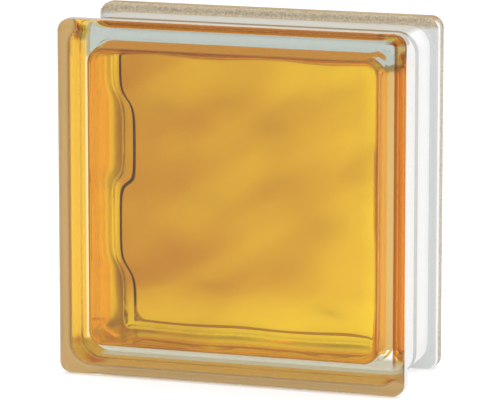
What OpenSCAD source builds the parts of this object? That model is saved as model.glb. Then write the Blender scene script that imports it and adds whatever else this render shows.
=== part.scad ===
// Hollow glass block for walls: two identical pressed halves, set face to face and fused at the middle.
// Each half is a dish with a flat face, a lip all round with softened edges, a mortar channel behind the lip
// and soft waves pressed into the inside of the pane.
// Frame: X across the face, Y through the block with the front face at -Y, Z up from the underside.

/* [Block] */
// Width and height of the block over its lips
block_size = 190; // [140:1:300]
// Depth from the front face to the back face
block_depth = 80; // [70:1:120]
// Corner radius of the lip's outline
lip_corner_r = 6.5; // [5.5:0.5:12]

/* [Lip] */
// Thickness of the lip from the face to the shoulder behind it
lip_thickness = 13; // [9:0.5:16]
// Radius that softens the edge between face and lip
face_edge_r = 5; // [2:0.25:6]
// Radius that softens the lip's back edge
lip_back_r = 2.5; // [1:0.25:3.5]

/* [Mortar channel] */
// Depth of the channel below the lip's outer edge
channel_depth = 4.5; // [4:0.25:6]
// Cove at the foot of the shoulder
foot_fillet_r = 2; // [0.5:0.25:2.25]
// Corner radius of the waist between the lips
waist_corner_r = 11; // [8:0.5:14]

/* [Seam] */
// Height of the fused bead round the waist
bead_height = 0.7; // [0.3:0.1:1.5]
// Width of the fused bead
bead_width = 6; // [4:0.5:10]

/* [Glass] */
// Thickness of the pane, midway between wave crest and trough
pane_thickness = 8.5; // [7:0.5:12]
// Thickness of the side wall where the halves are fused
wall_thickness = 8.5; // [6:0.5:12]
// Draft of the side wall, which thickens towards the pane
wall_draft = 5; // [2:0.5:7]
// Fillet between the side wall and the pane
inner_fillet_r = 3; // [2:0.5:8]
// Corner radius of the hollow at the seam
hollow_corner_r = 9; // [6:0.5:14]
// Corner radius of the hollow where the fillet meets the pane
pane_corner_r = 6; // [3:0.5:10]

/* [Waves] */
// Height of the waves from trough to crest
wave_height = 2.2; // [0.5:0.1:4]
// Distance from crest to crest across the pane
wave_pitch = 64; // [40:1:100]
// Distance from crest to crest up the pane
cross_pitch = 90; // [60:1:120]
// Where the waves start across the pane
wave_shift = 58; // [0:1:100]
// Where the waves start up the pane
cross_shift = -0.6; // [-60:0.1:60]
// How far the rows of waves climb for each step across
wave_lean = 0.15; // [0:0.05:0.5]
// Softness of the turn from one row of waves to the next
wave_softness = 0.3; // [0.2:0.05:2]

/* [Hidden] */

half_size = block_size / 2;
half_depth = block_depth / 2;
waist_half = half_size - channel_depth;
shoulder = half_depth - lip_thickness;

// The bead's section is an arc through its foot on either side of the seam
bead_r = (pow(bead_width / 2, 2) + pow(bead_height, 2)) / (2 * bead_height);

// The hollow's section: a drafted wall, a fillet and the pane's inside
hollow_top = half_depth - pane_thickness;
hollow_half = waist_half - wall_thickness;
fillet_base = hollow_top - inner_fillet_r;
fillet_half = hollow_half - fillet_base * tan(wall_draft) - inner_fillet_r / cos(wall_draft);

// Counts of facets: along a side and round a corner of the hollow, up its fillet and across its pane
side_steps = 28;
corner_steps = 4;
fillet_steps = 4;
pane_steps = 18;
// How far a cutting shape reaches past what it cuts, and how far the waist runs on into the lip
overcut = 1;
overlap = 3;
// How far the cove's arc runs on into the lip, so that it meets the shoulder at a slight angle
cove_lift = 0.1;
$fn = 64;

// Sweeps a section round a square with round corners and fills the middle between two heights.
// The section's X is measured from the corner's centre.
module sweep_round_square(half, r, low, high) {
    reach = half - r;
    translate([-reach, -reach, low])
        cube([2 * reach, 2 * reach, high - low]);
    for (side = [0 : 3])
        rotate([0, 0, 90 * side]) {
            translate([reach, reach, 0])
                rotate_extrude(angle = 90)
                    children();
            translate([reach, reach, 0])
                rotate([90, 0, 0])
                    linear_extrude(2 * reach)
                        children();
        }
}

// Section of the lip: square to the face, with its front and back edges softened
module lip_section() {
    polygon([
        [0, shoulder],
        [lip_corner_r - lip_back_r, shoulder],
        [lip_corner_r, shoulder + lip_back_r],
        [lip_corner_r, half_depth - face_edge_r],
        [lip_corner_r - face_edge_r, half_depth],
        [0, half_depth]
    ]);
    translate([lip_corner_r - lip_back_r, shoulder + lip_back_r])
        rotate(-90)
            quarter_disc(lip_back_r);
    translate([lip_corner_r - face_edge_r, half_depth - face_edge_r])
        quarter_disc(face_edge_r);
}

// Quarter of a disc, which keeps the section on its own side of the corner's centre
module quarter_disc(r) {
    intersection() {
        circle(r);
        square(r);
    }
}

// Section of the waist: a straight wall with half of the bead at the seam and a cove at the shoulder
module waist_section() {
    top = shoulder + overlap;
    cove = [waist_corner_r + foot_fillet_r, shoulder - foot_fillet_r + cove_lift];
    square([waist_corner_r, top]);
    intersection() {
        translate([waist_corner_r + bead_height - bead_r, 0])
            circle(bead_r, $fn = 128);
        square([waist_corner_r + bead_r, bead_r]);
    }
    difference() {
        polygon([
            [waist_corner_r - overcut, cove.y],
            [waist_corner_r, cove.y],
            cove + [0, foot_fillet_r],
            [cove.x, top],
            [waist_corner_r - overcut, top]
        ]);
        translate(cove)
            circle(foot_fillet_r);
    }
}

// Rounded-square ring of points at one height, with the same count of points whatever its size
function ring(half, r) = [
    for (side = [0 : 3])
        let (reach = half - r)
        each concat(
            [for (i = [0 : side_steps - 1])
                turned([half, -reach + 2 * reach * i / side_steps], side)],
            [for (i = [0 : corner_steps - 1])
                let (a = 90 * i / corner_steps)
                turned([reach + r * cos(a), reach + r * sin(a)], side)]
        )
];

// A point turned by quarter turns about the origin
function turned(p, quarters) =
    quarters == 0 ? p : turned([-p.y, p.x], quarters - 1);

// Height of the pressed waves at a point of the pane: rows of crests and troughs that trade places from row to row
function wave(p) =
    let (
        across = sin(360 * (p.x + wave_shift) / wave_pitch),
        row = sin(360 * (p.y + wave_lean * p.x + cross_shift) / cross_pitch)
    )
    wave_height / 2 * across * softened(row);

// A sine flattened towards a square wave, still between -1 and 1
function softened(s) = s * sqrt((1 + pow(wave_softness, 2)) / (pow(s, 2) + pow(wave_softness, 2)));

// Corner radius of the hollow: it tightens up the wall and the fillet, then shrinks with the rings of the pane
function hollow_r(half) =
    half < fillet_half
        ? pane_corner_r * half / fillet_half
        : hollow_corner_r
            + (pane_corner_r - hollow_corner_r) * (hollow_half - half) / (hollow_half - fillet_half);

// The hollow's rings from the mouth to the middle of the pane: half size, height and share of the waves
function hollow_stations() = concat(
    [[hollow_half + overcut * tan(wall_draft), -overcut, 0]],
    [for (i = [0 : fillet_steps])
        let (a = wall_draft + (90 - wall_draft) * i / fillet_steps)
        [fillet_half + inner_fillet_r * cos(a), fillet_base + inner_fillet_r * sin(a), i / fillet_steps]],
    [for (i = [1 : pane_steps - 1])
        [fillet_half * (1 - i / pane_steps), hollow_top, 1]]
);

// The sealed hollow of one half, with the waves on its pane side
module hollow() {
    stations = hollow_stations();
    count = 4 * (side_steps + corner_steps);
    last = len(stations) - 1;
    points = concat(
        [for (s = stations)
            each [for (p = ring(s[0], hollow_r(s[0]))) [p.x, p.y, s[1] + s[2] * wave(p)]]],
        [[0, 0, hollow_top + wave([0, 0])], [0, 0, -overcut]]
    );
    pane_middle = len(points) - 2;
    mouth_middle = len(points) - 1;
    mouth = [for (i = [0 : count - 1]) [i, (i + 1) % count, mouth_middle]];
    walls = [for (k = [0 : last - 1], i = [0 : count - 1])
        let (a = k * count + i, b = k * count + (i + 1) % count)
        each [[a, b + count, b], [a, a + count, b + count]]];
    middle = [for (i = [0 : count - 1])
        [last * count + (i + 1) % count, last * count + i, pane_middle]];
    polyhedron(points, concat(mouth, walls, middle), convexity = 4);
}

// One pressed half, its seam on z = 0 and its face at the top
module pressed_half() {
    difference() {
        union() {
            sweep_round_square(half_size, lip_corner_r, shoulder, half_depth)
                lip_section();
            sweep_round_square(waist_half, waist_corner_r, 0, shoulder + overlap)
                waist_section();
        }
        hollow();
    }
}

// Stands a half up with its face to the front
module upright() {
    translate([0, 0, half_size])
        rotate([90, 0, 0])
            children();
}

module front_half() {
    color([0.92, 0.65, 0.15, 0.75])
        upright()
            pressed_half();
}

module back_half() {
    color([0.86, 0.92, 0.91, 0.5])
        rotate([0, 0, 180])
            upright()
                pressed_half();
}

front_half();
back_half();
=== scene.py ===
"""Glass block with an amber front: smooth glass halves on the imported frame, studio light and camera."""
import math
import bmesh
import bpy
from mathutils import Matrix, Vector


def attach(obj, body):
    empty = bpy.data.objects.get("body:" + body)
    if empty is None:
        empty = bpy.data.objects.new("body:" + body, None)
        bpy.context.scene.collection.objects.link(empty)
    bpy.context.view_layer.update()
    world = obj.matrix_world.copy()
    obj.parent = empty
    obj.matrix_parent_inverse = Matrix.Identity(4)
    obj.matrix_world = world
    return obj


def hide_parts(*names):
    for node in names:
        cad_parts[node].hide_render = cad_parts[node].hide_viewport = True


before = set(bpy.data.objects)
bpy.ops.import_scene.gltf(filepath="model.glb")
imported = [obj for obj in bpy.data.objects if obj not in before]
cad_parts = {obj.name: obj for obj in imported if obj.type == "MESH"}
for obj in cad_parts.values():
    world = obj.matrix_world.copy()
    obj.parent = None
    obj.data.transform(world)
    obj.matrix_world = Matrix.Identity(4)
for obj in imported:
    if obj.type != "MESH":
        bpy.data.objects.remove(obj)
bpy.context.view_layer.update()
scene = bpy.context.scene

# Sizes of the block in millimetres, the same as in the part's source
MM = 0.001
BLOCK_SIZE = 190.0
BLOCK_DEPTH = 80.0
LIP_CORNER_R = 6.5
LIP_THICKNESS = 13.0
FACE_EDGE_R = 5.0
LIP_BACK_R = 2.5
CHANNEL_DEPTH = 4.5
FOOT_FILLET_R = 2.0
WAIST_CORNER_R = 11.0
BEAD_HEIGHT = 0.7
BEAD_WIDTH = 6.0
PANE_THICKNESS = 8.5
WALL_THICKNESS = 8.5
WALL_DRAFT = math.radians(5.0)
INNER_FILLET_R = 3.0
HOLLOW_CORNER_R = 9.0
PANE_CORNER_R = 6.0
WAVE_HEIGHT = 2.2
WAVE_PITCH = 64.0
CROSS_PITCH = 90.0
WAVE_SHIFT = 58.0
CROSS_SHIFT = -0.6
WAVE_LEAN = 0.15
WAVE_SOFTNESS = 0.3

# Places worked out from the sizes
HALF_SIZE = BLOCK_SIZE / 2
HALF_DEPTH = BLOCK_DEPTH / 2
WAIST_HALF = HALF_SIZE - CHANNEL_DEPTH
WAIST_REACH = WAIST_HALF - WAIST_CORNER_R
SHOULDER = HALF_DEPTH - LIP_THICKNESS
BEAD_R = ((BEAD_WIDTH / 2) ** 2 + BEAD_HEIGHT ** 2) / (2 * BEAD_HEIGHT)
HOLLOW_TOP = HALF_DEPTH - PANE_THICKNESS
HOLLOW_HALF = WAIST_HALF - WALL_THICKNESS
FILLET_BASE = HOLLOW_TOP - INNER_FILLET_R
FILLET_HALF = HOLLOW_HALF - FILLET_BASE * math.tan(WALL_DRAFT) - INNER_FILLET_R / math.cos(WALL_DRAFT)

# Half of the hair's gap between the two seam faces, so that light meets both of them everywhere
SEAM_GAP = 0.005
# Distance from the seam over which the edge's lining of painted light and reflection is bright amber, on the
# front and on the back half
PAINTED_LINING_FRONT = 22.0
PAINTED_LINING_BACK = 12.5
# Steps of the fillet, counted from the wall, that carry painted shade in the back half
DARK_TURN = (1, 2, 3, 4)

# Counts of mesh steps
SIDE_STEPS = 64
EDGE_STEPS = 8
WALL_STEPS = 12
PANE_STEPS = 64
FACE_STEPS = 10
LIP_CORNER_STEPS = 12
LEAD_STEPS = 3
# Points nearer than this, in metres, are one point
WELD = 1e-7


# Shape of a pressed half: rings of points from the seam over the lip to the face, and up the hollow

def lip_corner_angles():
    """Directions from the waist's corner centre to even steps round the lip's corner."""
    gap = HALF_SIZE - LIP_CORNER_R - WAIST_REACH
    turns = [math.pi / 2 * i / LIP_CORNER_STEPS for i in range(LIP_CORNER_STEPS + 1)]
    arc = [math.atan2(gap + LIP_CORNER_R * math.sin(t), gap + LIP_CORNER_R * math.cos(t)) for t in turns]
    # A few more lead up to the first of them and on from the last
    before = [arc[0] * i / LEAD_STEPS for i in range(LEAD_STEPS)]
    after = [arc[-1] + arc[0] * i / LEAD_STEPS for i in range(1, LEAD_STEPS)]
    return before + arc + after


CORNER_ANGLES = lip_corner_angles()
RING_COUNT = 4 * (SIDE_STEPS + len(CORNER_ANGLES))


def corner_point(half, r, start, a):
    """Where a ray from the corner centre at start meets a round corner that may lie further out."""
    across = math.cos(a)
    up = math.sin(a)
    gap = half - r - start
    side = (half - start) / max(across, up)
    if gap > 0 and side * min(across, up) <= gap:
        return (start + side * across, start + side * up)
    lean = gap * (across + up)
    length = lean + math.sqrt(lean ** 2 - 2 * gap ** 2 + r ** 2)
    return (start + length * across, start + length * up)


def ring(half, r, start):
    """Points round a square with round corners, the same count whatever its size; start ends its sides."""
    quarter = [(half, -start + 2 * start * i / SIDE_STEPS) for i in range(SIDE_STEPS)]
    for a in CORNER_ANGLES:
        quarter.append(corner_point(half, r, start, a))
    points = []
    for _ in range(4):
        points.extend(quarter)
        quarter = [(-y, x) for x, y in quarter]
    return points


def wave(x, y):
    """Height of the pressed waves at a point of the pane."""
    across = math.sin(math.tau * (x + WAVE_SHIFT) / WAVE_PITCH)
    row = math.sin(math.tau * (y + WAVE_LEAN * x + CROSS_SHIFT) / CROSS_PITCH)
    row *= math.sqrt((1 + WAVE_SOFTNESS ** 2) / (row ** 2 + WAVE_SOFTNESS ** 2))
    return WAVE_HEIGHT / 2 * across * row


def flat_ring(half, depth, r):
    """A ring of the outside at one depth."""
    return [(x, y, depth) for x, y in ring(half, r, WAIST_REACH)]


def outer_rings(painted_lining):
    """Rings of the outside, each with the zone of the strip that ends on it."""
    rings = []
    for i in range(EDGE_STEPS + 1):
        depth = BEAD_WIDTH / 2 * i / EDGE_STEPS
        proud = math.sqrt(BEAD_R ** 2 - depth ** 2) - (BEAD_R - BEAD_HEIGHT)
        rings.append((flat_ring(WAIST_HALF + proud, depth, WAIST_CORNER_R + proud), "bead"))
    cove_start = SHOULDER - FOOT_FILLET_R
    for i in range(EDGE_STEPS + 1):
        depth = painted_lining + (cove_start - painted_lining) * i / EDGE_STEPS
        zone = "waist_near" if i == 0 else "waist_far"
        rings.append((flat_ring(WAIST_HALF, depth, WAIST_CORNER_R), zone))
    for i in range(1, EDGE_STEPS + 1):
        a = math.pi / 2 * i / EDGE_STEPS
        out = FOOT_FILLET_R * (1 - math.cos(a))
        depth = cove_start + FOOT_FILLET_R * math.sin(a)
        rings.append((flat_ring(WAIST_HALF + out, depth, WAIST_CORNER_R + out), "shoulder"))
    for i in range(EDGE_STEPS + 1):
        a = math.pi / 2 * i / EDGE_STEPS
        inset = LIP_BACK_R * (1 - math.sin(a))
        depth = SHOULDER + LIP_BACK_R * (1 - math.cos(a))
        zone = "shoulder" if i <= EDGE_STEPS // 2 else "rim"
        rings.append((flat_ring(HALF_SIZE - inset, depth, LIP_CORNER_R - inset), zone))
    for i in range(EDGE_STEPS + 1):
        a = math.pi / 2 * i / EDGE_STEPS
        inset = FACE_EDGE_R * (1 - math.cos(a))
        depth = HALF_DEPTH - FACE_EDGE_R * (1 - math.sin(a))
        zone = "rim" if i == 0 else "edge"
        rings.append((flat_ring(HALF_SIZE - inset, depth, LIP_CORNER_R - inset), zone))
    border = ring(HALF_SIZE - FACE_EDGE_R, LIP_CORNER_R - FACE_EDGE_R, WAIST_REACH)
    for i in range(1, FACE_STEPS):
        share = 1 - i / FACE_STEPS
        rings.append(([(x * share, y * share, HALF_DEPTH) for x, y in border], "face"))
    return rings


def hollow_r(half):
    """Corner radius of the hollow where it is that wide."""
    if half < FILLET_HALF:
        return PANE_CORNER_R * half / FILLET_HALF
    tightening = (PANE_CORNER_R - HOLLOW_CORNER_R) * (HOLLOW_HALF - half)
    return HOLLOW_CORNER_R + tightening / (HOLLOW_HALF - FILLET_HALF)


def waved_ring(half, depth, share):
    """A ring of the hollow with a share of the waves added to its depth."""
    r = hollow_r(half)
    return [(x, y, depth + share * wave(x, y)) for x, y in ring(half, r, half - r)]


def inner_rings():
    """Rings of the hollow from the seam to the pane, each with the zone of the strip that ends on it."""
    rings = []
    wall_end = FILLET_BASE + INNER_FILLET_R * math.sin(WALL_DRAFT)
    for i in range(WALL_STEPS):
        depth = wall_end * i / WALL_STEPS
        half = HOLLOW_HALF - depth * math.tan(WALL_DRAFT)
        rings.append((waved_ring(half, depth, 0), "wall"))
    for i in range(EDGE_STEPS + 1):
        a = WALL_DRAFT + (math.pi / 2 - WALL_DRAFT) * i / EDGE_STEPS
        half = FILLET_HALF + INNER_FILLET_R * math.cos(a)
        depth = FILLET_BASE + INNER_FILLET_R * math.sin(a)
        zone = "wall" if i == 0 else "turn" if i in DARK_TURN else "pane"
        rings.append((waved_ring(half, depth, i / EDGE_STEPS), zone))
    for i in range(1, PANE_STEPS):
        rings.append((waved_ring(FILLET_HALF * (1 - i / PANE_STEPS), HOLLOW_TOP, 1), "pane"))
    return rings


def strip_faces(first, second, inward):
    """Quads between two rings, given by the index of their first points."""
    faces = []
    for i in range(RING_COUNT):
        j = (i + 1) % RING_COUNT
        quad = [first + i, first + j, second + j, second + i]
        faces.append(quad[::-1] if inward else quad)
    return faces


def skin(rings, middle, inward, points, faces, zones):
    """Adds a run of rings closed by a middle point, and returns the index of its first point."""
    start = len(points)
    for index, (ring_points, zone) in enumerate(rings):
        here = len(points)
        points.extend(ring_points)
        if index:
            strip = strip_faces(here - RING_COUNT, here, inward)
            faces.extend(strip)
            zones.extend([zone] * len(strip))
    last = len(points) - RING_COUNT
    points.append(middle)
    for i in range(RING_COUNT):
        fan = [last + i, last + (i + 1) % RING_COUNT, len(points) - 1]
        faces.append(fan[::-1] if inward else fan)
        zones.append(rings[-1][1])
    return start


def weld(mesh):
    """Joins points that fall together and keeps the border of the seam crisp."""
    work = bmesh.new()
    work.from_mesh(mesh)
    bmesh.ops.remove_doubles(work, verts=work.verts, dist=WELD)
    for edge in work.edges:
        edge.smooth = len({face.smooth for face in edge.link_faces}) == 1
    work.to_mesh(mesh)
    work.free()
    mesh.update()


def pressed_half(name, turned, materials):
    """One closed half in the row frame; materials gives a material for each zone."""
    points = []
    faces = []
    zones = []
    painted_lining = PAINTED_LINING_BACK if turned else PAINTED_LINING_FRONT
    outside = skin(outer_rings(painted_lining), (0, 0, HALF_DEPTH), False, points, faces, zones)
    inside = skin(inner_rings(), (0, 0, HOLLOW_TOP + wave(0, 0)), True, points, faces, zones)
    seam = strip_faces(outside, inside, True)
    faces.extend(seam)
    zones.extend(["seam"] * len(seam))
    side = -1 if turned else 1
    placed = []
    for x, y, depth in points:
        placed.append((side * x * MM, -side * max(depth, SEAM_GAP) * MM, (y + HALF_SIZE) * MM))
    mesh = bpy.data.meshes.new(name)
    mesh.from_pydata(placed, [], faces)
    used = sorted(set(materials.values()), key=lambda material: material.name)
    for material in used:
        mesh.materials.append(material)
    for polygon, zone in zip(mesh.polygons, zones):
        polygon.material_index = used.index(materials[zone])
        polygon.use_smooth = zone != "seam"
    weld(mesh)
    piece = bpy.data.objects.new(name, mesh)
    scene.collection.objects.link(piece)
    return piece


# Nodes of the materials and of the world

# Sockets of the Mix node when it mixes colours
MIX_FACTOR = 0
MIX_FIRST = 6
MIX_SECOND = 7
MIX_RESULT = 2


class Nodes:
    """A small helper that adds and links the nodes of one material or world."""

    def __init__(self, owner, output):
        self.owner = owner
        owner.use_nodes = True
        self.tree = owner.node_tree
        self.tree.nodes.clear()
        self.output = self.add(output)

    def add(self, kind, **inputs):
        """A new node with some of its inputs set or linked."""
        node = self.tree.nodes.new(kind)
        for key, value in inputs.items():
            self.put(node, key.replace("_", " "), value)
        return node

    def put(self, node, key, value):
        """Links an input to another node's output, or sets it to a value."""
        socket = node.inputs[key]
        if isinstance(value, bpy.types.NodeSocket):
            self.tree.links.new(value, socket)
        else:
            socket.default_value = value

    def math(self, operation, a, b=0.0):
        """Result of an operation on one or two numbers."""
        node = self.add("ShaderNodeMath")
        node.operation = operation
        self.put(node, 0, a)
        self.put(node, 1, b)
        return node.outputs[0]

    def mix(self, factor, first, second):
        """A mix of two shaders."""
        node = self.add("ShaderNodeMixShader")
        self.put(node, 0, factor)
        self.put(node, 1, first.outputs[0])
        self.put(node, 2, second.outputs[0])
        return node

    def blend(self, factor, first, second):
        """A mix of two colours."""
        node = self.add("ShaderNodeMix")
        node.data_type = "RGBA"
        self.put(node, MIX_FACTOR, factor)
        self.put(node, MIX_FIRST, first)
        self.put(node, MIX_SECOND, second)
        return node.outputs[MIX_RESULT]

    def place(self):
        """Where a point lies in the block's frame, in metres."""
        return self.add("ShaderNodeTexCoord").outputs["Object"]

    def axes(self, vector=None):
        """The three parts of a vector, or of the place."""
        return self.add("ShaderNodeSeparateXYZ", Vector=vector or self.place()).outputs

    def noise(self, scale, detail=2.0, vector=None):
        """Noise of so many cells to the metre."""
        node = self.add("ShaderNodeTexNoise", Vector=vector or self.place(), Scale=scale, Detail=detail)
        return node.outputs["Fac"]

    def bump(self, height, relief):
        """Normal bent by a height; relief is its strength and its distance in metres."""
        strength, distance = relief
        return self.add("ShaderNodeBump", Height=height, Strength=strength, Distance=distance).outputs[0]

    def ramp(self, value, span):
        """Rises from 0 where the value is at the start of the span to 1 where it is at its end."""
        start, end = span
        return self.add("ShaderNodeMapRange", Value=value, From_Min=start, From_Max=end).outputs[0]

    def done(self, shader):
        """Links the finished shader and returns the material or world."""
        self.tree.links.new(shader.outputs[0], self.output.inputs["Surface"])
        return self.owner


def new_material(name):
    """Nodes of a new material."""
    return Nodes(bpy.data.materials.new(name), "ShaderNodeOutputMaterial")


def rgb(red, green, blue):
    """A solid colour in linear light."""
    return (red, green, blue, 1.0)


# Clear glass and the sand on it; some of the sand carries painted shade and some painted amber light
CLEAR = rgb(0.985, 0.995, 0.99)
BLACK = rgb(0.0, 0.0, 0.0)
WHITE = rgb(1.0, 1.0, 1.0)
WHITE_SAND = rgb(0.96, 0.96, 0.955)
# Painted shade: grey sand for the shaded bead and for the shoulder in the channel
SAND_PAINTED_SHADE = rgb(0.62, 0.64, 0.64)
# Painted amber light, thrown from the front half through the top channel onto the back half's shoulder
SAND_PAINTED_AMBER_LIGHT = rgb(0.52, 0.42, 0.25)
BROWN_SAND = rgb(0.35, 0.24, 0.10)
# Painted shade of the channel along the top, on its sand
TOP_SAND_PAINTED_SHADE = rgb(0.61, 0.59, 0.53)
# Painted amber light on the top of the back half's lip
TOP_PAINTED_AMBER_LIGHT = rgb(0.57, 0.44, 0.26)
# Painted shade of the channel along the top, dark on the bead
TOP_BEAD_PAINTED_SHADE = rgb(0.32, 0.24, 0.14)
# The coat on the pane, in a painted-shade and a painted-light copy of its amber, and the coat on the wall
AMBER_PAINTED_SHADE = rgb(0.44, 0.160, 0.006)
AMBER_PAINTED_LIGHT = rgb(0.86, 0.54, 0.012)
AMBER_WALL = rgb(0.95, 0.80, 0.45)
# Painted light and reflection on the inside of the edge, seen through the glass: they stand for what the
# amber coat and the surroundings throw there, and differ by side
YELLOW_EDGE = rgb(0.90, 0.50, 0.030)
WARM_EDGE = rgb(0.81, 0.35, 0.03)
ORANGE_EDGE = rgb(0.85, 0.36, 0.03)
TAN_ORANGE = rgb(0.95, 0.55, 0.11)
CREAM_EDGE = rgb(0.92, 0.72, 0.38)
OLIVE_EDGE = rgb(0.70, 0.44, 0.14)
GLOW_EDGE = rgb(1.0, 0.38, 0.03)
PALE_EDGE = rgb(0.86, 0.80, 0.66)
TAN_EDGE = rgb(0.62, 0.36, 0.09)
TAN_LOW = rgb(0.72, 0.49, 0.21)
TAN_CORNER = rgb(0.74, 0.46, 0.14)
# Painted light and shade on the rounded edge of the front face
AMBER_ROUND = rgb(0.95, 0.66, 0.24)
TOP_ROUND = rgb(1.0, 0.70, 0.10)
BROWN_ROUND = rgb(0.56, 0.22, 0.05)
# The seam along the bottom and along the top, and the painted shade of the turn of the back half
SEAM_LOW = rgb(0.765, 0.74, 0.65)
SEAM_HIGH = rgb(0.69, 0.72, 0.695)
DARK_SIDE = rgb(0.11, 0.06, 0.015)
DARK_LOW = rgb(0.50, 0.34, 0.12)

# Materials: a noise is a scale and a detail, a relief a strength and a distance, a polish a scale and a most.
# A place runs from its start to its end in metres, and a spread is the part of a noise that shows.

GLASS_IOR = 1.5


def glass(n, colour, rough, normal=None):
    """Glass of one colour for what passes and for what it mirrors."""
    node = n.add("ShaderNodeBsdfGlass", Color=colour, Roughness=rough, IOR=GLASS_IOR)
    if normal:
        n.put(node, "Normal", normal)
    return node


def two_toned_glass(n, passing, mirrored, rough, normal=None):
    """Glass with a colour for what passes and another for what it mirrors."""
    through = n.add("ShaderNodeBsdfRefraction", Color=passing, Roughness=rough, IOR=GLASS_IOR)
    mirror = n.add("ShaderNodeBsdfGlossy", Color=mirrored, Roughness=rough)
    if normal:
        n.put(through, "Normal", normal)
        n.put(mirror, "Normal", normal)
    share = n.add("ShaderNodeFresnel", IOR=GLASS_IOR).outputs[0]
    return n.mix(share, through, mirror)


def frosted(n, colour, normal, share, rough):
    """Frosted glass: a share of it scatters in a colour, and the rest is clear."""
    body = n.add("ShaderNodeBsdfDiffuse", Color=colour, Normal=normal)
    return n.mix(share, glass(n, CLEAR, rough, normal), body)


def two_sided(n, outside, within):
    """One shader for a surface seen from outside, another where it is seen from within the glass."""
    return n.mix(n.add("ShaderNodeNewGeometry").outputs["Backfacing"], outside, within)


def uneven(n, kind):
    """A fine noise; kind is its scale and the most that it reaches."""
    scale, most = kind
    return n.math("MULTIPLY", n.noise(scale), most)


# Sand of the unpolished glass
GRAIN = (1500.0, 3.0)
GRAIN_SPREAD = (0.35, 0.65)
GRAIN_SHADE = 0.9
SAND_RELIEF = (0.5, 0.0004)
SAND_ROUGH = 0.25


def sand(n, colour, share):
    """Unpolished glass: grainy, scattering, part see-through."""
    height = n.noise(*GRAIN)
    shaded = n.blend(GRAIN_SHADE, BLACK, colour)
    speck = n.blend(n.ramp(height, GRAIN_SPREAD), colour, shaded)
    return frosted(n, speck, n.bump(height, SAND_RELIEF), share, SAND_ROUGH)


# Faint swell and polish of the faces
SWELL = (28.0, 1.0)
SWELL_RELIEF = (0.08, 0.001)
FACE_POLISH = (300.0, 0.012)


def face_material():
    """Fire-polished face: smooth, with the faint unevenness of pressed glass."""
    n = new_material("polished_glass")
    normal = n.bump(n.noise(*SWELL), SWELL_RELIEF)
    return n.done(glass(n, CLEAR, uneven(n, FACE_POLISH), normal))


# The coat carries painted light and shade in clouds that rise to the right and are longer than wide
CLOUDS = (36.0, 1.0)
CLOUD_SLANT = (0.0, math.radians(-30), 0.0)
CLOUD_STRETCH = (2.2, 1.0, 1.0)
CLOUD_SPREAD = (0.36, 0.64)
CLOUD_WEIGHT = 0.24
# Where painted light makes the coat brighter: an axis, a span along it, and how much that adds
PAINTED_LIGHT_ACROSS = ("X", (-0.050, 0.080), 0.48)
PAINTED_LIGHT_LOW = ("Z", (0.052, 0.028), 0.48)
PAINTED_LIGHT_HIGH = ("Z", (0.130, 0.175), 0.14)
PAINTED_LIGHT_LEFT = ("X", (-0.060, -0.066), 0.95)
PAINTED_LIGHT_RIGHT = ("X", (0.070, 0.077), 0.15)


def amber_with_painted_light(n):
    """Tint of the coat with painted light and shade: deepest left of the middle, brighter at its borders,
    with clouds on a slant.
    """
    slant = n.add("ShaderNodeMapping", Vector=n.place(), Rotation=CLOUD_SLANT, Scale=CLOUD_STRETCH)
    slant.vector_type = "TEXTURE"
    cloud = n.ramp(n.noise(*CLOUDS, vector=slant.outputs[0]), CLOUD_SPREAD)
    painted_light_share = n.math("MULTIPLY", cloud, CLOUD_WEIGHT)
    axes = n.axes()
    for axis, span, weight in (PAINTED_LIGHT_ACROSS, PAINTED_LIGHT_LOW, PAINTED_LIGHT_HIGH, PAINTED_LIGHT_LEFT, PAINTED_LIGHT_RIGHT):
        painted_light_share = n.math("ADD", painted_light_share, n.math("MULTIPLY", n.ramp(axes[axis], span), weight))
    return n.blend(painted_light_share, AMBER_PAINTED_SHADE, AMBER_PAINTED_LIGHT)


# Where a corner starts, by the product of the normal's X and Z: 0 along a side, 0.5 in mid corner
CORNER_TURN = (0.15, 0.35)
# Wrinkles of the hollow's corners, about the middle of their noise
WRINKLES = (80.0, 0.0)
WRINKLE_MIDDLE = 0.5
WRINKLE_RELIEF = (1.0, 0.0025)


def corner_share(n):
    """1 in the corners of the block and 0 along its sides, by the way the surface faces."""
    axes = n.axes(n.add("ShaderNodeNewGeometry").outputs["True Normal"])
    slant = n.math("ABSOLUTE", n.math("MULTIPLY", axes["X"], axes["Z"]))
    return n.ramp(slant, CORNER_TURN)


def wrinkled(n):
    """Soft wrinkles that the pressing leaves in the corners of the hollow."""
    height = n.math("SUBTRACT", n.noise(*WRINKLES), WRINKLE_MIDDLE)
    return n.bump(n.math("MULTIPLY", height, corner_share(n)), WRINKLE_RELIEF)


COAT_POLISH = (200.0, 0.01)


def coat_material():
    """Amber coat on the inside of the pane, with painted light and shade in its tint; it tints what passes
    and what mirrors.
    """
    n = new_material("amber_coat")
    return n.done(glass(n, amber_with_painted_light(n), uneven(n, COAT_POLISH), wrinkled(n)))


def wall_material(name, colour):
    """Inside wall towards the seam: it tints what passes, and its mirror stays clear."""
    n = new_material(name)
    return n.done(two_toned_glass(n, colour, CLEAR, uneven(n, COAT_POLISH), wrinkled(n)))


# How far a surface has to face left, right or up to take the painted light of that side
LEFT_TURN = (-0.6, -0.8)
RIGHT_TURN = (0.6, 0.8)
TOP_TURN = (-0.5, 0.5)


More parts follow.
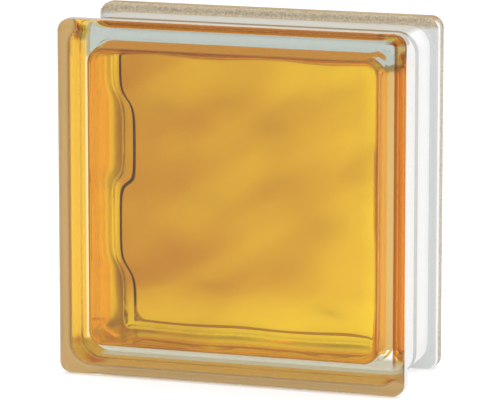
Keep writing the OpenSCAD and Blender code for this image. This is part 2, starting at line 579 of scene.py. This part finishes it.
def painted_light_by_side(n, left, right, top, bottom, corner):
    """Painted light and reflection: a colour for each side of the edge and one for its corners, by the way
    the surface faces.
    """
    geometry = n.add("ShaderNodeNewGeometry")
    axes = n.axes(geometry.outputs["True Normal"])
    outward = n.math("SUBTRACT", 1.0, n.math("MULTIPLY", geometry.outputs["Backfacing"], 2.0))
    across = n.math("MULTIPLY", axes["X"], outward)
    up = n.math("MULTIPLY", axes["Z"], outward)
    colour = n.blend(n.ramp(up, TOP_TURN), bottom, top)
    colour = n.blend(n.ramp(across, LEFT_TURN), colour, left)
    colour = n.blend(n.ramp(across, RIGHT_TURN), colour, right)
    return n.blend(corner_share(n), colour, corner)


# The painted lining's relief, the share of its body that lets light pass, and the height at which the sand
# turns to the painted shade of the top
PAINTED_LINING_RELIEF = (0.25, 0.0003)
PAINTED_LINING_PASS = 0.5
TOP_SHADE_HEIGHT = (0.1835, 0.1850)


def painted_lining_material(name, painted_lining, rough, body, outer, sandy, top=TOP_SAND_PAINTED_SHADE):
    """Edge of the block: from within the glass a lining of painted light and reflection, coloured by side;
    sandy glass from outside, with painted shade along the top.
    """
    n = new_material(name)
    inner = painted_light_by_side(n, *painted_lining)
    normal = n.bump(n.noise(*GRAIN), PAINTED_LINING_RELIEF)
    shown = n.add("ShaderNodeBsdfDiffuse", Color=inner, Normal=normal)
    passed = n.add("ShaderNodeBsdfTranslucent", Color=inner, Normal=normal)
    within = n.mix(body, glass(n, inner, rough, normal), n.mix(PAINTED_LINING_PASS, shown, passed))
    colour = n.blend(n.ramp(n.axes()["Z"], TOP_SHADE_HEIGHT), outer, top)
    return n.done(two_sided(n, sand(n, colour, sandy), within))


# Where the rounded edge takes painted amber light: at the right and above its foot, at the top and past its
# left
EDGE_RIGHT = (0.0845, 0.0890)
EDGE_FOOT = (0.014, 0.020)
EDGE_TOP = (0.1866, 0.1876)
EDGE_LEFT = (-0.076, -0.068)
# Where it turns from brown painted shade to amber painted light round the edge, and how much of it the mirror
# takes as painted reflection
EDGE_ROUND = (-0.03985, -0.0396)
EDGE_MIRROR = 0.4
EDGE_POLISH = (300.0, 0.03)


def edge_material():
    """Rounded edge of the front face: painted amber light and reflection along the top and the right, with
    brown painted shade on the front part of the right.
    """
    n = new_material("amber_face_edge")
    axes = n.axes()
    right = n.math("MULTIPLY", n.ramp(axes["X"], EDGE_RIGHT), n.ramp(axes["Z"], EDGE_FOOT))
    top = n.math("MULTIPLY", n.ramp(axes["Z"], EDGE_TOP), n.ramp(axes["X"], EDGE_LEFT))
    amber = n.blend(n.ramp(axes["Y"], EDGE_ROUND), BROWN_ROUND, AMBER_ROUND)
    tint = n.blend(top, n.blend(right, CLEAR, amber), TOP_ROUND)
    mirrored = n.blend(EDGE_MIRROR, CLEAR, tint)
    return n.done(two_toned_glass(n, tint, mirrored, uneven(n, EDGE_POLISH)))


# Height below which the painted shade on the turn of the back half is lighter, and its polish
TURN_LOW = (0.0265, 0.0225)
TURN_POLISH = (200.0, 0.02)


def turn_material():
    """Turn between the back half's wall and pane: dark glass as painted shade, for the dark line that it
    shows where it bends light away.
    """
    n = new_material("dark_turn")
    colour = n.blend(n.ramp(n.axes()["Z"], TURN_LOW), DARK_SIDE, DARK_LOW)
    return n.done(glass(n, colour, uneven(n, TURN_POLISH)))


# Grains of sand on the back lip: along its back edge and along its top, where the lip also takes painted
# amber light
SPECKS = (1400.0, 2.0)
SPECK_SPREAD = (0.40, 0.54)
SPECK_RELIEF = (0.6, 0.0005)
SPECK_BACK = (0.0285, 0.0300)
SPECK_TOP = (0.1870, 0.1890)
SPECK_SHARE = 0.80
SPECK_ROUGH = 0.15
# Roughness of the frosted glass where it is seen from within
WITHIN_ROUGH = 0.02


def speckled_material():
    """Back lip of the block: white frosted glass with brown grains along its top and its back edge, and
    painted amber light that turns its top tan.
    """
    n = new_material("speckled_edge")
    height = n.noise(*SPECKS)
    axes = n.axes()
    back = n.ramp(axes["Y"], SPECK_BACK)
    top = n.ramp(axes["Z"], SPECK_TOP)
    grains = n.math("MULTIPLY", n.ramp(height, SPECK_SPREAD), n.math("MAXIMUM", back, top))
    colour = n.blend(grains, n.blend(top, WHITE_SAND, TOP_PAINTED_AMBER_LIGHT), BROWN_SAND)
    outside = frosted(n, colour, n.bump(height, SPECK_RELIEF), SPECK_SHARE, SPECK_ROUGH)
    return n.done(two_sided(n, outside, glass(n, CLEAR, WITHIN_ROUGH)))


# Sand on the back half's shoulder, along its top, where it also takes painted amber light
SHOULDER_GRAIN = (900.0, 3.0)
SHOULDER_SPREAD = (0.40, 0.62)
SHOULDER_RELIEF = (0.6, 0.0006)
SHOULDER_TOP = (0.1835, 0.1855)
SHOULDER_SHARE = 0.85
SHOULDER_ROUGH = 0.2


def shoulder_material():
    """Shoulder of the back half: frosted glass, grey with painted shade, and tan with painted amber light and
    sandy along the top.
    """
    n = new_material("sandy_shoulder")
    height = n.noise(*SHOULDER_GRAIN)
    top = n.ramp(n.axes()["Z"], SHOULDER_TOP)
    grains = n.math("MULTIPLY", n.ramp(height, SHOULDER_SPREAD), top)
    colour = n.blend(grains, n.blend(top, SAND_PAINTED_SHADE, SAND_PAINTED_AMBER_LIGHT), BROWN_SAND)
    outside = frosted(n, colour, n.bump(height, SHOULDER_RELIEF), SHOULDER_SHARE, SHOULDER_ROUGH)
    return n.done(two_sided(n, outside, glass(n, CLEAR, WITHIN_ROUGH)))


# The seam's haze, and the places of its tints: along its foot, along its head and in the upper corners
SEAM_HAZE = (400.0, 0.04)
SEAM_FOOT = (0.0155, 0.0135)
SEAM_HEAD = (0.1745, 0.1765)
SEAM_CORNER = (0.1660, 0.1680)
SEAM_ASIDE = (0.0880, 0.0860)


def seam_material():
    """The fused joint: see-through, tinted along the bottom and the top, with a faint haze."""
    n = new_material("fused_seam")
    axes = n.axes()
    aside = n.math("ABSOLUTE", axes["X"])
    low = n.ramp(axes["Z"], SEAM_FOOT)
    corner = n.math("MULTIPLY", n.ramp(axes["Z"], SEAM_CORNER), n.ramp(aside, SEAM_ASIDE))
    high = n.math("MAXIMUM", n.ramp(axes["Z"], SEAM_HEAD), corner)
    tint = n.blend(high, n.blend(low, CLEAR, SEAM_LOW), SEAM_HIGH)
    clear = n.add("ShaderNodeBsdfTransparent", Color=tint)
    scattered = n.add("ShaderNodeBsdfDiffuse", Color=WHITE_SAND)
    return n.done(n.mix(uneven(n, SEAM_HAZE), clear, scattered))


# Painted light and reflection of the linings by side: left, right, top, bottom and corners
amber_sides = (YELLOW_EDGE, WARM_EDGE, ORANGE_EDGE, TAN_ORANGE, YELLOW_EDGE)
pale_sides = (CREAM_EDGE, OLIVE_EDGE, GLOW_EDGE, PALE_EDGE, YELLOW_EDGE)
tan_sides = (TAN_EDGE, TAN_EDGE, TAN_EDGE, TAN_LOW, TAN_CORNER)

# Materials of the two halves by zone
polished = face_material()
fused = seam_material()
coat = coat_material()
speckled = speckled_material()
amber_near = painted_lining_material("amber_edge", amber_sides, rough=0.06, body=0.05, outer=WHITE_SAND, sandy=0.9)
# The bead's outside is grey with painted shade, and darker with painted shade along the top
amber_bead = painted_lining_material(
    "amber_bead", amber_sides, rough=0.06, body=0.05, outer=SAND_PAINTED_SHADE, sandy=0.8, top=TOP_BEAD_PAINTED_SHADE
)
tan_edge = painted_lining_material("tan_edge", tan_sides, rough=0.30, body=0.6, outer=WHITE_SAND, sandy=0.85)
sandy_waist = painted_lining_material("sandy_waist", pale_sides, rough=0.03, body=0.0, outer=WHITE_SAND, sandy=0.9)
front_zones = {
    "face": polished,
    "rim": tan_edge,
    "shoulder": tan_edge,
    "waist_far": tan_edge,
    "waist_near": amber_near,
    "bead": amber_bead,
    "seam": fused,
    "wall": wall_material("amber_wall_coat", AMBER_WALL),
    "turn": coat,
    "pane": coat,
    "edge": edge_material(),
}
back_zones = {
    "face": polished,
    "rim": speckled,
    "shoulder": shoulder_material(),
    "waist_far": sandy_waist,
    "waist_near": amber_near,
    "bead": amber_bead,
    "seam": fused,
    "wall": wall_material("clear_wall", CLEAR),
    "turn": turn_material(),
    "pane": polished,
    "edge": speckled,
}

# The two halves, each in place of its plain solid
front = pressed_half("front_glass", False, front_zones)
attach(front, "root")
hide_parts("front_half")
back = pressed_half("back_glass", True, back_zones)
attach(back, "root")
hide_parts("back_half")

# Camera at the photograph's angle; the picture is taken as 500 by 400
PICTURE_W = 500
PICTURE_H = 400
CAMERA_YAW = math.radians(18.12)
CAMERA_PITCH = math.radians(10.83)
CAMERA_DISTANCE = 2.205
FOCAL_PX = 4172
CENTRE_PX = (251.0, 194.7)
SENSOR = 36.0
target = Vector((0, 0, HALF_SIZE * MM))
forward = Vector((
    -math.sin(CAMERA_YAW) * math.cos(CAMERA_PITCH),
    math.cos(CAMERA_YAW) * math.cos(CAMERA_PITCH),
    -math.sin(CAMERA_PITCH),
))
lens = bpy.data.cameras.new("camera")
lens.sensor_width = SENSOR
lens.lens = FOCAL_PX * SENSOR / PICTURE_W
lens.shift_x = (PICTURE_W / 2 - CENTRE_PX[0]) / PICTURE_W
lens.shift_y = (CENTRE_PX[1] - PICTURE_H / 2) / PICTURE_W
camera = bpy.data.objects.new("camera", lens)
camera.location = target - forward * CAMERA_DISTANCE
camera.rotation_euler = forward.to_track_quat("-Z", "Y").to_euler()
scene.collection.objects.link(camera)
scene.camera = camera

# Plain pale floor, with a little light of its own so that it stays near white
FLOOR_SIZE = 14.0
FLOOR_GREY = rgb(0.65, 0.65, 0.65)
FLOOR_GLOW = 0.5
reach = FLOOR_SIZE / 2
floor_corners = [(-reach, -reach, 0), (reach, -reach, 0), (reach, reach, 0), (-reach, reach, 0)]
floor_mesh = bpy.data.meshes.new("floor")
floor_mesh.from_pydata(floor_corners, [], [(0, 1, 2, 3)])
floor = bpy.data.objects.new("floor", floor_mesh)
floor_nodes = new_material("pale_floor")
paper = floor_nodes.add("ShaderNodeBsdfDiffuse", Color=FLOOR_GREY)
lit_paper = floor_nodes.add("ShaderNodeEmission", Color=WHITE, Strength=FLOOR_GLOW)
both = floor_nodes.add("ShaderNodeAddShader")
floor_nodes.put(both, 0, paper.outputs[0])
floor_nodes.put(both, 1, lit_paper.outputs[0])
floor_mesh.materials.append(floor_nodes.done(both))
scene.collection.objects.link(floor)

# Soft surroundings: a brightness for each of the six directions, blended between them
SURROUNDINGS = {"X": (0.9, 1.0), "Y": (0.5, 1.35), "Z": (1.0, 1.3)}
sky = Nodes(bpy.data.worlds.new("studio"), "ShaderNodeOutputWorld")
direction = sky.axes(sky.add("ShaderNodeTexCoord").outputs["Generated"])
light = 0.0
for axis, (behind, ahead) in SURROUNDINGS.items():
    part = direction[axis]
    weight = sky.math("MULTIPLY", part, part)
    is_ahead = sky.math("GREATER_THAN", part, 0.0)
    level = sky.math("ADD", sky.math("MULTIPLY", is_ahead, ahead - behind), behind)
    light = sky.math("ADD", light, sky.math("MULTIPLY", weight, level))
scene.world = sky.done(sky.add("ShaderNodeBackground", Strength=light))

# Large soft lamp above
LAMP_SIZE = 1.2
LAMP_ENERGY = 8
LAMP_PLACE = (0.2, -0.3, 1.6)
lamp_data = bpy.data.lights.new("soft_lamp", "AREA")
lamp_data.size = LAMP_SIZE
lamp_data.energy = LAMP_ENERGY
lamp = bpy.data.objects.new("soft_lamp", lamp_data)
lamp.location = LAMP_PLACE
lamp.rotation_euler = (target - lamp.location).to_track_quat("-Z", "Y").to_euler()
scene.collection.objects.link(lamp)

# Light has to pass many glass surfaces, and colours are shown as they are
GLASS_BOUNCES = 32
OTHER_BOUNCES = 16
scene.cycles.max_bounces = GLASS_BOUNCES
scene.cycles.transmission_bounces = GLASS_BOUNCES
scene.cycles.glossy_bounces = OTHER_BOUNCES
scene.cycles.transparent_max_bounces = OTHER_BOUNCES
scene.view_settings.view_transform = "Standard"
